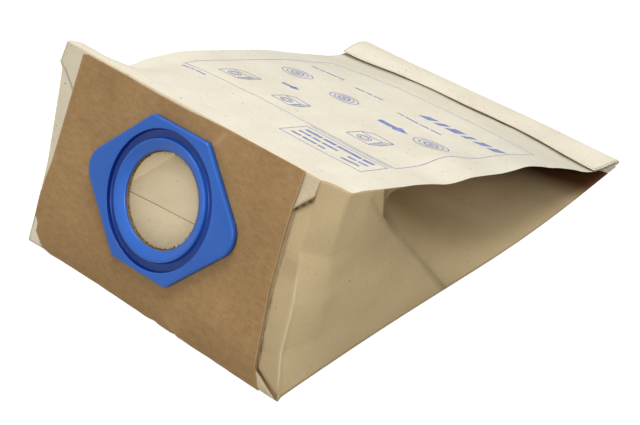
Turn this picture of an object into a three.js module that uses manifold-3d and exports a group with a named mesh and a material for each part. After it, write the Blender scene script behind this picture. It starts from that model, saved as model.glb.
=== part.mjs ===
// A vacuum cleaner's paper dust bag, lying on its lower panel. One gusseted paper tube is
// folded into a block bottom at its front, which carries a card plate and a plastic collar,
// and is folded over once and glued at its far end. Millimetres, +Z up, +X along the
// front's width, +Y from the collar to the glued end. The origin is the middle of the
// lower panel's underside.
import * as THREE from "three";
import { mergeVertices } from "three/addons/utils/BufferGeometryUtils.js";
import Module from "manifold-3d";

const wasm = await Module();
wasm.setup();

// Paper tube
const width = 200;
const length = 296;
const paper = 0.6;
const thinnestRoom = 0.4;

// Block bottom: the front, which leans back and leans over to one side
const frontHeight = 116.3;
const lean = THREE.MathUtils.degToRad(26.4);
const leanOverLeft = 14;
const leanOverRight = 17.8;
const leftCornerRun = 30;
const rightCornerRun = 18;
const rightCornerInset = 3;
const lowerEdgeRadius = 2;
const cornerDepth = 5.8;
const foldRoom = 1.6;

// Flaps glued over each other on the front
const flapStep = 0.5;
const upperFlapReach = 56;
const lowerFlapReach = 50;
const flapSlant = 12;
const upperFlapCorner = 9.6;
const lowerFlapCorner = 9.2;
const flapFoot = 4;

// Side folds: each side is open and flat near the front, and folds in behind its crease
const gussetWidth = 58;
const creaseTopBehind = 27.5;
const creaseTopDrop = 2.5;
const creaseLip = 14;
const creaseBottom = 130;
const gussetEndMargin = 12;
const gussetRamp = 50;
const gussetSink = 80;
const gussetSteps = 8;
const lipSlack = 1.2;
const apexSlack = 5;

// Glued end
const endThickness = 3;
const foldOver = 26;
const foldOverThickness = 1.6;
const foldOverLift = 4;
const foldOverReach = 5;
const foldOverMargin = 1.5;
const foldOverRows = 5;

// Soft rises and hollows of the upper panel: place, spread and height
const swellFade = 20;
const endSwellMargin = 28;
const swells = [
  { x: width / 2, y: 202, wide: 20, long: 17, high: 3.4 },
  { x: width / 2 - 20, y: 152, wide: 16, long: 18, high: 4 },
  { x: width / 2, y: 132, wide: 16, long: 14, high: -1.8 },
  { x: width / 2, y: length - endSwellMargin, wide: 40, long: 26, high: -6.5 },
  { x: -width / 2, y: 236, wide: 60, long: 34, high: -5.5 },
  { x: -width / 2, y: 160, wide: 60, long: 90, high: -3 },
  { x: -width / 2, y: 76, wide: 22, long: 18, high: -11 },
  { x: -width / 2, y: length - endSwellMargin, wide: 50, long: 18, high: -3 },
];

// Card plate
const cardThickness = 0.5;
const cardTopMargin = 1.1;
const cardTop = frontHeight - cardTopMargin;
const cardFoot = 0.6;
const cardCurl = 0.4;
const cardCurlHeight = 8;
const cardRows = [0, 0.08, 0.2, 0.42, 0.65, 1];
const cardLeft = -101.5;
const cardRight = 69.7;
const cardFlare = 14.7;
const cardFlareHeight = 22;
const cardGap = 0.3;

// Collar
const collarX = -13.8;
const collarHeight = 62.1;
const collarTurn = THREE.MathUtils.degToRad(0.5);
const collarThickness = 3.8;
const collarHalfHeight = 41.8;
const collarFlat = 21;
const collarTip = 61.5;
const cornerRadius = 4;
const lobeRadius = 13.5;
const rimRadius = 1.2;
const grooveOuter = 38.6;
const crestRadius = 33.4;
const crestWidth = 1.6;
const grooveDepth = 3;
const grooveDraft = 0.6;
const holeRadius = 27;
const holeStraight = 0.95;
const paperHoleRadius = 26.3;
const collarGap = 0.3;
const rimTurns = [30, 60, 90];
const cornerTurn = 15;
const roundSides = 64;

// Rows of points on the tube's sections, and the sections' places from left to right, which
// lie closer together towards the sides
const lowerRows = 4;
const edgeTurns = [0, 0.5, 1];
const frontRows = [0.3, 0.65, 1];
const upperSteps = 18;
const halfSections = 7;
const sections = Array.from({ length: 2 * halfSections + 1 }, (_, i) => {
  return Math.sin((Math.PI / 2) * (i / halfSections - 1));
});

// How far a cutter reaches past what it cuts
const cutterPast = 2;
const holeCutterReach = 6;
const foldCutterReach = 12;

// Front plane in the bag's own coordinates: u across, v up the slope, n outwards
const faceMatrix = new THREE.Matrix4().makeRotationX(Math.PI / 2 - lean);

function onFace(u, v, n = 0) {
  return new THREE.Vector3(u, v, n).applyMatrix4(faceMatrix);
}

const foldTop = onFace(0, frontHeight);

// Puts triangles on points.
function geometryOf(points, triangles) {
  const geometry = new THREE.BufferGeometry();
  const numbers = points.flatMap((p) => [p.x, p.y, p.z]);
  geometry.setAttribute("position", new THREE.Float32BufferAttribute(numbers, 3));
  geometry.setIndex(triangles);
  return geometry;
}

// A copy of a geometry whose points that coincide are one, with nothing but its points.
function welded(geometry) {
  const plain = geometry.clone();
  plain.deleteAttribute("normal");
  plain.deleteAttribute("uv");
  return mergeVertices(plain, 1e-4);
}

// Makes a closed geometry a solid.
function solidOf(geometry) {
  const merged = welded(geometry);
  const vertProperties = new Float32Array(merged.attributes.position.array);
  const triVerts = new Uint32Array(merged.index.array);
  return new wasm.Manifold(new wasm.Mesh({ numProp: 3, vertProperties, triVerts }));
}

// Turns a solid back into a geometry with flat faces.
function geometryFrom(solid) {
  const mesh = solid.getMesh();
  const geometry = new THREE.BufferGeometry();
  geometry.setAttribute("position", new THREE.BufferAttribute(mesh.vertProperties, 3));
  geometry.setIndex(new THREE.BufferAttribute(mesh.triVerts, 1));
  geometry.computeVertexNormals();
  return geometry;
}

// Fills a ring of points with triangles, working from its first and last points inwards
// and always taking the shorter way across.
function fillRing(ring) {
  const triangles = [];
  let low = 0;
  let high = ring.length - 1;
  while (high - low > 1) {
    const lowStep = ring[low + 1].distanceTo(ring[high]);
    const highStep = ring[low].distanceTo(ring[high - 1]);
    if (lowStep < highStep) {
      triangles.push([low, low + 1, high]);
      low += 1;
    } else {
      triangles.push([low, high - 1, high]);
      high -= 1;
    }
  }
  return triangles;
}

// Joins equal closed rings into a tube and closes its two ends.
function loft(rings, fill = fillRing) {
  const count = rings[0].length;
  const triangles = [];
  for (let i = 0; i + 1 < rings.length; i += 1) {
    for (let j = 0; j < count; j += 1) {
      const a = i * count + j;
      const b = i * count + ((j + 1) % count);
      triangles.push(a, b, b + count, a, b + count, a + count);
    }
  }
  const last = (rings.length - 1) * count;
  for (const [p, q, r] of fill(rings[0])) triangles.push(p, r, q);
  for (const [p, q, r] of fill(rings.at(-1))) triangles.push(last + p, last + q, last + r);
  return geometryOf(rings.flat(), triangles);
}

// Turns a geometry outside in where its faces point inwards.
function outwards(geometry) {
  const p = geometry.attributes.position;
  const index = geometry.index;
  const a = new THREE.Vector3();
  const b = new THREE.Vector3();
  const c = new THREE.Vector3();
  let volume = 0;
  for (let i = 0; i < index.count; i += 3) {
    a.fromBufferAttribute(p, index.getX(i));
    b.fromBufferAttribute(p, index.getX(i + 1));
    c.fromBufferAttribute(p, index.getX(i + 2));
    volume += a.dot(b.cross(c));
  }
  if (volume < 0) index.array.reverse();
  return geometry;
}

// Height of the upper panel: a straight slope from the front's fold to the glued end,
// with its swells, which fade out at the front's fold.
function upperHeight(x, y) {
  const along = (y - foldTop.y) / (length - foldTop.y);
  const fade = THREE.MathUtils.smoothstep(y, foldTop.y, foldTop.y + swellFade);
  let height = THREE.MathUtils.lerp(foldTop.z, endThickness, along);
  for (const s of swells) {
    height += fade * s.high * Math.exp(-(((x - s.x) / s.wide) ** 2) - ((y - s.y) / s.long) ** 2);
  }
  return height;
}

// How far straight down a wall on the upper panel reaches, for its thickness.
function wallBelow(x, y, thickness) {
  const step = 1;
  const slopeX = (upperHeight(x + step, y) - upperHeight(x - step, y)) / (2 * step);
  const slopeY = (upperHeight(x, y + step) - upperHeight(x, y - step)) / (2 * step);
  return thickness * Math.hypot(1, slopeX, slopeY);
}

// The left and right edges of the front at a height v up its slope.
function frontLeft(v) {
  return -width / 2 - (leanOverLeft * v) / frontHeight;
}

function frontRight(v) {
  return width / 2 - (leanOverRight * v) / frontHeight;
}

// The edges of the upper panel come from the front's corners to the tube's width.
function upperLeft(y) {
  const back = THREE.MathUtils.clamp((y - foldTop.y) / leftCornerRun, 0, 1);
  return -width / 2 - leanOverLeft * (1 - back);
}

function upperRight(y) {
  const first = foldTop.y + cornerDepth;
  const back = THREE.MathUtils.clamp((y - first) / (foldTop.y + rightCornerRun - first), 0, 1);
  return width / 2 - rightCornerInset * (1 - back);
}

// One closed lengthwise section through the bag. across runs from -1 at the left to 1 at
// the right, inset moves the section inwards by a wall, and the section stops short of the
// glued end by a number of its upper rows.
function bagSection(across, inset, shortBy) {
  const share = (across + 1) / 2;
  const first = foldTop.y + cornerDepth;
  const upperRows = upperSteps - shortBy;
  const end = THREE.MathUtils.lerp(first, length, upperRows / upperSteps);
  const points = [];
  for (let i = lowerRows; i > 0; i -= 1) {
    points.push(new THREE.Vector3(across * (width / 2 - inset), (end * i) / lowerRows, inset));
  }
  const corner = Math.PI / 2 - lean;
  const radius = Math.max(lowerEdgeRadius - inset, paper);
  const reach = inset / Math.tan(corner / 2);
  const centre = reach + radius / Math.tan(corner / 2);
  for (const turn of edgeTurns) {
    const angle = -Math.PI / 2 - turn * (Math.PI - corner);
    const y = centre + radius * Math.cos(angle);
    const z = inset + radius + radius * Math.sin(angle);
    points.push(new THREE.Vector3(across * (width / 2 - inset), y, z));
  }
  const top = frontHeight - inset * foldRoom;
  for (const up of frontRows) {
    const v = top * up;
    const u = THREE.MathUtils.lerp(frontLeft(v) + inset, frontRight(v) - inset, share);
    points.push(onFace(u, v, -inset));
  }
  for (let i = 0; i <= upperRows; i += 1) {
    const y = THREE.MathUtils.lerp(first, length, i / upperSteps) + (i === 0 ? inset : 0);
    const x = THREE.MathUtils.lerp(upperLeft(y) + inset, upperRight(y) - inset, share);
    points.push(new THREE.Vector3(x, y, upperHeight(x, y) - wallBelow(x, y, inset)));
  }
  return points;
}

// Fills a side of the bag: a fan between the leaning front's edge and the first place where
// the upper panel is as wide as the tube, and behind it the flat side.
function fillSide(ring) {
  const lowest = lowerRows + edgeTurns.length - 1;
  const firstUpper = lowerRows + edgeTurns.length + frontRows.length;
  const run = ring[0].x < 0 ? leftCornerRun : rightCornerRun;
  const full = ring.findIndex((p, i) => i >= firstUpper && p.y >= foldTop.y + run);
  const triangles = [];
  for (let i = lowest; i + 1 < full; i += 1) triangles.push([i, i + 1, full]);
  const kept = ring.map((_, i) => i).filter((i) => i <= lowest || i >= full);
  for (const triangle of fillRing(kept.map((i) => ring[i]))) {
    triangles.push(triangle.map((i) => kept[i]));
  }
  return triangles;
}

// The bag as one closed block: whole, or its inside, smaller all round by a wall.
function bagBody(inset, shortBy) {
  const rings = sections.map((across) => bagSection(across, inset, shortBy));
  return solidOf(outwards(loft(rings, fillSide)));
}

// The space that a side fold takes out of the bag. side is -1 or 1, and grow widens the
// space by a wall, which leaves that much paper around it. Its lips run along the panels'
// edges, and its apex starts close under the upper edge and sinks in behind the crease.
function sideFold(side, grow) {
  const edge = width / 2;
  const outside = edge + foldCutterReach;
  const slack = grow * lipSlack;
  const lipAt = (y) => upperHeight(side * edge, y) - paper + slack;
  const lowerLip = paper - slack;
  const creaseTop = foldTop.y + creaseTopBehind;
  const gussetEnd = length - gussetEndMargin;
  const headZ = upperHeight(side * edge, creaseTop) - creaseTopDrop;
  const ring = (upperY, upper, apex, lowerY, lower) => [
    new THREE.Vector3(side * outside, upperY, upper),
    new THREE.Vector3(side * edge, upperY, upper),
    apex,
    new THREE.Vector3(side * edge, lowerY, lower),
    new THREE.Vector3(side * outside, lowerY, lower),
  ];
  const start = new THREE.Vector3(side * edge, creaseTop - slack, headZ - creaseLip);
  const rings = [ring(creaseTop - slack, headZ + slack, start, creaseBottom - slack, paper - grow)];
  for (let i = 1; i <= gussetSteps; i += 1) {
    const along = i / gussetSteps;
    const upperY = THREE.MathUtils.lerp(creaseTop, gussetEnd, along);
    const lowerY = THREE.MathUtils.lerp(creaseBottom, gussetEnd, along);
    const room = Math.max(upperHeight(side * edge, upperY) - 2 * paper, thinnestRoom);
    const open = Math.sin((Math.PI / 2) * Math.min(1, (upperY - creaseTop) / gussetRamp));
    const depth = Math.sqrt(gussetWidth ** 2 - (room / 2) ** 2) * open;
    const sunk = THREE.MathUtils.smoothstep(upperY, creaseTop, creaseTop + gussetSink);
    const apexZ = THREE.MathUtils.lerp(headZ - creaseLip, paper + room / 2, sunk);
    const nearer = Math.max(Math.min(lipAt(upperY) - apexZ, apexZ - paper), 1);
    const grown = grow * Math.min(apexSlack, depth / nearer + 1);
    const apex = new THREE.Vector3(side * (edge - depth - grown), upperY, apexZ);
    rings.push(ring(upperY, lipAt(upperY), apex, lowerY, lowerLip));
  }
  return solidOf(outwards(loft(rings)));
}

// A plate on the front with a straight-sided outline, from n = low to n = high.
function facePlate(outline, low, high) {
  const shape = new THREE.Shape(outline.map(([u, v]) => new THREE.Vector2(u, v)));
  const geometry = new THREE.ExtrudeGeometry(shape, { depth: high - low, bevelEnabled: false });
  geometry.translate(0, 0, low);
  geometry.applyMatrix4(faceMatrix);
  return solidOf(geometry);
}

// The two flaps that close the block bottom, each with slanted ends, glued over each other.
function flaps() {
  const sunk = paper / 2;
  const top = frontHeight - lowerEdgeRadius;
  const corner = frontHeight - upperFlapCorner;
  const upperOutline = [
    [frontLeft(top), top],
    [frontLeft(corner), corner],
    [frontLeft(corner) + flapSlant, corner - flapSlant],
    [frontLeft(corner) + flapSlant, frontHeight - upperFlapReach],
    [frontRight(corner) - flapSlant, frontHeight - upperFlapReach],
    [frontRight(corner) - flapSlant, corner - flapSlant],
    [frontRight(corner), corner],
    [frontRight(top), top],
  ];
  const tucked = lowerEdgeRadius / 2;
  const lowerOutline = [
    [frontLeft(flapFoot), flapFoot],
    [frontRight(flapFoot) - 2 * tucked, flapFoot],
    [cardRightAt(lowerFlapCorner) - tucked, lowerFlapCorner],
    [cardRight - 2 * tucked, lowerFlapReach],
    [frontLeft(flapFoot) + flapSlant, lowerFlapReach],
  ];
  return [facePlate(upperOutline, -sunk, flapStep), facePlate(lowerOutline, -sunk, flapStep)];
}

// The card's right edge at a height v up the front: it flares out towards the bottom.
function cardRightAt(v) {
  return cardRight + cardFlare * Math.exp(-v / cardFlareHeight);
}

// A round cutter along the collar's axis, from its profile of [radius, n] points.
function roundCutter(profile) {
  const points = profile.map(([r, n]) => new THREE.Vector2(r, n));
  const closed = points[0].x > 0 ? [...points, points[0]] : points;
  const geometry = new THREE.LatheGeometry(closed, roundSides);
  geometry.rotateX(Math.PI / 2);
  geometry.rotateZ(Math.PI / roundSides);
  return outwards(welded(geometry));
}

// The round hole through the front's paper and card, in the front's own coordinates.
function paperHole() {
  const hole = roundCutter([
    [0, -holeCutterReach],
    [paperHoleRadius, -holeCutterReach],
    [paperHoleRadius, holeCutterReach],
    [0, holeCutterReach],
  ]);
  hole.translate(collarX, collarHeight, 0);
  return hole;
}

// The glued end: the flat end of the tube is folded up and back over the upper panel. Its
// free edge lifts at the left.
function foldedEnd() {
  const back = length - foldOverThickness;
  const rings = sections.map((across) => {
    const x = across * (width / 2 - foldOverMargin);
    const leftShare = (1 - across) / 2;
    const front = length - foldOver - foldOverReach * leftShare;
    const under = [];
    const over = [];
    for (let k = 0; k <= foldOverRows; k += 1) {
      const y = THREE.MathUtils.lerp(back, front, k / foldOverRows);
      const lifted = upperHeight(x, y) + foldOverLift * (leftShare * (k / foldOverRows)) ** 2;
      under.push(new THREE.Vector3(x, y, lifted - paper));
      over.push(new THREE.Vector3(x, y, lifted + foldOverThickness));
    }
    const foldZ = over[0].z;
    const roundY = THREE.MathUtils.lerp(length, back, 0.3);
    return [
      ...under,
      ...over.reverse(),
      new THREE.Vector3(x, roundY, foldZ * 0.85),
      new THREE.Vector3(x, length, foldZ / 2),
      new THREE.Vector3(x, roundY, paper / 2),
      new THREE.Vector3(x, back, paper / 2),
    ];
  });
  return solidOf(outwards(loft(rings)));
}

// The paper bag: its block, less the side folds and the inside, with the flaps and the
// glued end added and the round hole cut through its front.
function paperBag() {
  const closedRows = Math.round((foldOver * upperSteps) / (length - foldTop.y));
  let bag = bagBody(0, 0);
  let inside = bagBody(paper, closedRows);
  for (const side of [-1, 1]) {
    bag = bag.subtract(sideFold(side, 0));
    inside = inside.subtract(sideFold(side, paper));
  }
  for (const flap of flaps()) bag = bag.add(flap);
  bag = bag.add(foldedEnd()).subtract(inside);
  return bag.subtract(solidOf(paperHole().applyMatrix4(faceMatrix)));
}

// The card plate. Its lower edge curls in round the bag's lower edge.
function cardPlate() {
  const low = flapStep + cardGap;
  const above = cardRows.map((share) => THREE.MathUtils.lerp(cardCurlHeight, cardTop, share));
  const heights = [cardFoot, cardCurlHeight / 2, ...above];
  const curl = (v) => cardCurl * (Math.max(0, cardCurlHeight - v) / cardCurlHeight) ** 2;
  const rings = [() => cardLeft, cardRightAt].map((edge) => {
    const outer = heights.map((v) => new THREE.Vector3(edge(v), v, low + cardThickness - curl(v)));
    const inner = heights.map((v) => new THREE.Vector3(edge(v), v, low - curl(v)));
    return [...outer, ...inner.reverse()];
  });
  const plate = solidOf(outwards(loft(rings)));
  return plate.subtract(solidOf(paperHole()));
}

// The collar's outline: a long hexagon with rounded corners, moved in by inset.
function collarOutline(inset) {
  const corners = [
    { u: collarTip, v: 0, radius: lobeRadius },
    { u: collarFlat, v: collarHalfHeight, radius: cornerRadius },
    { u: -collarFlat, v: collarHalfHeight, radius: cornerRadius },
    { u: -collarTip, v: 0, radius: lobeRadius },
    { u: -collarFlat, v: -collarHalfHeight, radius: cornerRadius },
    { u: collarFlat, v: -collarHalfHeight, radius: cornerRadius },
  ];
  const outline = [];
  corners.forEach((corner, i) => {
    const before = corners.at(i - 1);
    const after = corners[(i + 1) % corners.length];
    const inAngle = Math.atan2(corner.v - before.v, corner.u - before.u) - Math.PI / 2;
    const outAngle = Math.atan2(after.v - corner.v, after.u - corner.u) - Math.PI / 2;
    const turn = THREE.MathUtils.euclideanModulo(outAngle - inAngle, 2 * Math.PI);
    const middle = inAngle + turn / 2;
    const back = corner.radius / Math.cos(turn / 2);
    const centreU = corner.u - back * Math.cos(middle);
    const centreV = corner.v - back * Math.sin(middle);
    const steps = Math.ceil(turn / THREE.MathUtils.degToRad(cornerTurn));
    for (let k = 0; k <= steps; k += 1) {
      const angle = inAngle + (turn * k) / steps;
      const u = centreU + (corner.radius - inset) * Math.cos(angle);
      const v = centreV + (corner.radius - inset) * Math.sin(angle);
      outline.push(new THREE.Vector2(u, v));
    }
  });
  return outline;
}

// The collar: a flat flange with a rounded rim, a deep ring groove, a crest inside it and
// a cone that runs in to the hole.
function collar() {
  const rings = [[0, 0], [0, collarThickness - rimRadius]];
  for (const turn of rimTurns) {
    const angle = THREE.MathUtils.degToRad(turn);
    const inset = rimRadius * (1 - Math.cos(angle));
    rings.push([inset, collarThickness - rimRadius * (1 - Math.sin(angle))]);
  }
  const body = rings.map(([inset, n]) => {
    return collarOutline(inset).map((p) => new THREE.Vector3(p.x, p.y, n));
  });
  const flange = solidOf(outwards(loft(body)));
  const floor = collarThickness - grooveDepth;
  const above = collarThickness + cutterPast;
  const groove = roundCutter([
    [crestRadius + grooveDraft, floor],
    [grooveOuter - grooveDraft, floor],
    [grooveOuter, collarThickness],
    [grooveOuter, above],
    [crestRadius, above],
    [crestRadius, collarThickness],
  ]);
  const bore = roundCutter([
    [0, -cutterPast],
    [holeRadius, -cutterPast],
    [holeRadius, holeStraight],
    [crestRadius - crestWidth, collarThickness],
    [crestRadius - crestWidth, above],
    [0, above],
  ]);
  return flange.subtract(solidOf(groove)).subtract(solidOf(bore));
}

const paperMaterial = new THREE.MeshStandardMaterial({ color: 0xcdbb95, roughness: 0.85 });
const cardMaterial = new THREE.MeshStandardMaterial({ color: 0x9b7d55, roughness: 0.9 });
const plasticMaterial = new THREE.MeshStandardMaterial({ color: 0x2f62ba, roughness: 0.4 });

// One piece of the bag, by its name.
function named(name, solid, material) {
  const mesh = new THREE.Mesh(geometryFrom(solid), material);
  mesh.name = name;
  return mesh;
}

const dustBag = new THREE.Group();
dustBag.add(named("paper_bag", paperBag(), paperMaterial));

const front = new THREE.Group();
front.rotation.x = Math.PI / 2 - lean;
front.add(named("card_plate", cardPlate(), cardMaterial));

const collarMesh = named("collar", collar(), plasticMaterial);
collarMesh.position.set(collarX, collarHeight, flapStep + cardGap + cardThickness + collarGap);
collarMesh.rotation.z = collarTurn;
front.add(collarMesh);
dustBag.add(front);
dustBag.position.y = -length / 2;

export default dustBag;
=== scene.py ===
# A vacuum cleaner's paper dust bag, dressed for its picture and built round its packed
# solids. Lengths are millimetres from the front's lower edge, and settle() puts them into
# the frame's metres.
import math

import bmesh
import bpy
import numpy as np
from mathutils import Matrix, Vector


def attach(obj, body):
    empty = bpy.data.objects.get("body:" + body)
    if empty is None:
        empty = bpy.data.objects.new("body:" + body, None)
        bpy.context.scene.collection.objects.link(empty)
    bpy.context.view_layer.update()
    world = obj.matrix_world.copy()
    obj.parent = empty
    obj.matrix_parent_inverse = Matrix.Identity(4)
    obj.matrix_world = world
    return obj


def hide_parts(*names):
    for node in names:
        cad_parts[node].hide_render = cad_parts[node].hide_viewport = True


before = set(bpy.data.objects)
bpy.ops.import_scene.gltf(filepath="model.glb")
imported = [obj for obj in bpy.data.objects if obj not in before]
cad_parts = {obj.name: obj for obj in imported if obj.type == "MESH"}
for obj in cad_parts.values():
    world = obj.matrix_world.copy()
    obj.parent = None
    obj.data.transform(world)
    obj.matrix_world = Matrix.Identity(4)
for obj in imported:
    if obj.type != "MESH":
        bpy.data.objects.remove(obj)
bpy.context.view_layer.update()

# The paper tube is one flat tube of filter paper with a fold along each side, opened out
# at its front into a block bottom. Its printed upper panel slopes down to the glued end.
# Each side stands up near the front, and folds in behind a slanting crease.
bag_width = 200.0
bag_length = 296.0
tube_end = 292.0
front_height = 116.3
front_lean = math.radians(26.4)
fold_back = front_height * math.sin(front_lean)
fold_rise = front_height * math.cos(front_lean)
inlet_across = -11.6
inlet_up = 63.2

# The lower left corner's shift in x and y, and how far up, back and across it reaches
corner_pull = (1.1, -1.7)
corner_pull_rise = 16.0
corner_pull_run = 60.0
corner_pull_start = 15.0


def smooth_step(value, low, high):
    """0 below low, 1 above high, and a soft S between them."""
    share = np.clip((value - low) / (high - low), 0.0, 1.0)
    return share * share * (3.0 - 2.0 * share)


def settle(points):
    """Millimetres from the front's lower edge to metres in the frame, whose origin is the
    middle of the lower panel. The lower left corner is pulled forward and in on its way, by
    less further up, back or to the right."""
    placed = np.array(points, dtype=float)
    low = 1.0 - smooth_step(placed[..., 2], 0.0, corner_pull_rise)
    near = 1.0 - smooth_step(placed[..., 1], 0.0, corner_pull_run)
    left = (-placed[..., 0] - corner_pull_start) / (bag_width / 2 - corner_pull_start)
    left = np.clip(left, 0.0, 1.05) ** 3
    placed[..., 0] += corner_pull[0] * low * near * left
    placed[..., 1] += corner_pull[1] * low * near * left
    return (placed - (0.0, bag_length / 2, 0.0)) / 1000.0


# The upper panel's soft rises and hollows: x, y, spread in x, spread in y, height
panel_swells = [(100, 202, 20, 17, 3.4), (80, 152, 16, 18, 4.0), (100, 132, 16, 14, -1.8),
                (100, 268, 40, 26, -6.5), (-100, 236, 60, 34, -5.5), (-100, 160, 60, 90, -3.0),
                (-100, 76, 22, 18, -11.0), (-100, 104, 24, 16, -2.5), (-100, 262, 50, 20, -4.0),
                (10, 264, 60, 20, -3.0)]
corner_droop = (99, 58, 7, 7, -2.0)
swell_fade = 20.0
end_height = 3.0

# Its waves: height, wavelength, seed. Its creases: start, end, width, height.
panel_waves = [(0.5, 90.0, 3), (0.16, 26.0, 4)]
panel_creases = [((-96, 78), (-52, 60), 2.0, -0.5), ((8, 232), (40, 262), 3.0, 0.4)]
relief_fade = 12.0
sine_count = 12

# How its two edges run behind the front's fold: distance behind, distance across
left_overhang = 14.0
left_draw_in = 30.0
right_turn_out = [(0.0, 82.2), (5.8, 97.0), (13.0, 98.5), (18.0, 100.0)]


def hump(x, y, place):
    """A bell-shaped rise at place = (x, y, spread in x, spread in y, height)."""
    return place[4] * np.exp(-((x - place[0]) / place[2]) ** 2 - ((y - place[1]) / place[3]) ** 2)


def ripple(a, b, wavelength, seed):
    """Soft waves between about -1 and 1: a fifth of the sum of twelve sines that run in all
    directions, each with its own wavelength and phase."""
    dice = np.random.default_rng(seed)
    directions = dice.uniform(0, math.pi, sine_count)
    stretches = dice.uniform(0.6, 1.7, sine_count)
    phases = dice.uniform(0, 2 * math.pi, sine_count)
    total = np.zeros(np.broadcast(a, b).shape)
    for direction, stretch, phase in zip(directions, stretches, phases):
        along = a * math.cos(direction) + b * math.sin(direction)
        total = total + np.sin(2 * math.pi * stretch * along / wavelength + phase)
    return total / 5.0


def waves(a, b, kinds):
    """The sum of several ripples, each given as its height, wavelength and seed."""
    return sum(height * ripple(a, b, wavelength, seed) for height, wavelength, seed in kinds)


def crease(a, b, start, end, width):
    """1 on the line from start to end, falling off to both sides over width and softly past
    its two ends."""
    run = np.subtract(end, start)
    length = math.hypot(*run)
    run = run / length
    along = (a - start[0]) * run[0] + (b - start[1]) * run[1]
    aside = (a - start[0]) * run[1] - (b - start[1]) * run[0]
    past = np.maximum(0.0, np.maximum(-along, along - length))
    return np.exp(-np.hypot(aside, past) / width)


def creases(a, b, kinds):
    """The sum of several creases, each given as its start, end, width and height."""
    return sum(height * crease(a, b, start, end, width) for start, end, width, height in kinds)


def upper_height(x, y):
    """Height of the upper panel: a straight slope from the front's fold to the glued end,
    with its swells, which fade out at the fold, and the sagging right corner."""
    along = (y - fold_back) / (bag_length - fold_back)
    height = fold_rise + (end_height - fold_rise) * along
    fade = smooth_step(y, fold_back, fold_back + swell_fade)
    for swell in panel_swells:
        height = height + fade * hump(x, y, swell)
    return height + hump(x, y, corner_droop)


def panel_relief(x, y):
    """Small creases and waves of the upper panel, which fade out at the front's fold."""
    fade = smooth_step(y, fold_back, fold_back + relief_fade)
    return fade * (waves(x, y, panel_waves) + creases(x, y, panel_creases))


def upper_left_edge(y):
    """The upper panel's left edge runs from the front's corner in to the tube's width."""
    back = np.clip((y - fold_back) / left_draw_in, 0.0, 1.0)
    return -bag_width / 2 - left_overhang * (1.0 - back)


def upper_right_edge(y):
    """The upper panel's right edge turns out from the front's corner to the tube's width."""
    behind, distances = zip(*right_turn_out)
    return np.interp(y, fold_back + np.array(behind), distances)


# The lower panel's creases, and its bow: middle, spread and height of a bell along y
short_fold = ((-57, 56), (-51, 47))
lower_creases = [((-96, 70), (60, 82.6), 2.5, 0.5), (*short_fold, 1.0, 0.35)]
lower_wave = 0.18
lower_draw_in = 1.4
lower_bow = (200.0, 100.0, 6.4)


def lower_edge(y):
    """Half the width of the lower panel, which draws in behind the front and bows out
    towards the glued end."""
    middle, spread, bow = lower_bow
    change = -lower_draw_in + bow * np.exp(-((y - middle) / spread) ** 2)
    return bag_width / 2 + smooth_step(y, 0.0, 5.0) * change


def lower_relief(x, y):
    """Folds of the lower panel, seen through the inlet: one across and a faint one along."""
    return creases(x, y, lower_creases) + lower_wave * (1.0 + ripple(x, y, 40.0, 8))


# Height up the front against distance across, down its left and its right fold
left_fold = [(0, -100), (47, -103.3), (87, -110), (100, -112.5), (103, -115.3), (116.3, -114)]
right_fold = [(0, 100), (3, 99), (23, 92.5), (50, 90), (72.5, 85), (77, 82.8), (88, 83.3),
              (107, 82.2), (116.3, 82.2)]


def on_front(across, up, out=0.0):
    """Points of the leaning front: across it, up its slope, and out from it."""
    across, up, out = np.broadcast_arrays(across, up, out)
    back = up * math.sin(front_lean) - out * math.cos(front_lean)
    height = up * math.cos(front_lean) + out * math.sin(front_lean)
    return np.stack([across, back, height], axis=-1)


def fold_across(points, up):
    """Distance across at a height up the front, along a fold given by a few points."""
    heights, distances = zip(*points)
    return np.interp(up, heights, distances)


# The side folds: where each starts to sink in behind its crease, how deep it goes, and how
# many rows and columns of points a side has before and behind the crease
crease_apex = (78.0, 77.0)
gusset_width = 58.0
gusset_end = 284.0
gusset_ramp = 50.0
gusset_sink = 80.0
apex_proud = 0.6
side_sag = (1.5, -0.8)
side_waves = [(0.9, 70.0, 21), (0.3, 22.0, 31)]
fold_count = 59
open_side_count = 36
folded_side_count = 90
apex_share = 0.84


def blend_patch(bottom, top, front, back):
    """A patch inside four border curves: the straight blend between bottom and top plus the
    one between front and back, less the blend of the four corners."""
    up = np.linspace(0.0, 1.0, len(front))[:, None, None]
    along = np.linspace(0.0, 1.0, len(bottom))[None, :, None]
    rise = (1 - up) * bottom[None] + up * top[None]
    run = (1 - along) * front[:, None] + along * back[:, None]
    corners = ((1 - up) * ((1 - along) * bottom[0] + along * bottom[-1])
               + up * ((1 - along) * top[0] + along * top[-1]))
    return rise + run - corners


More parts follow.
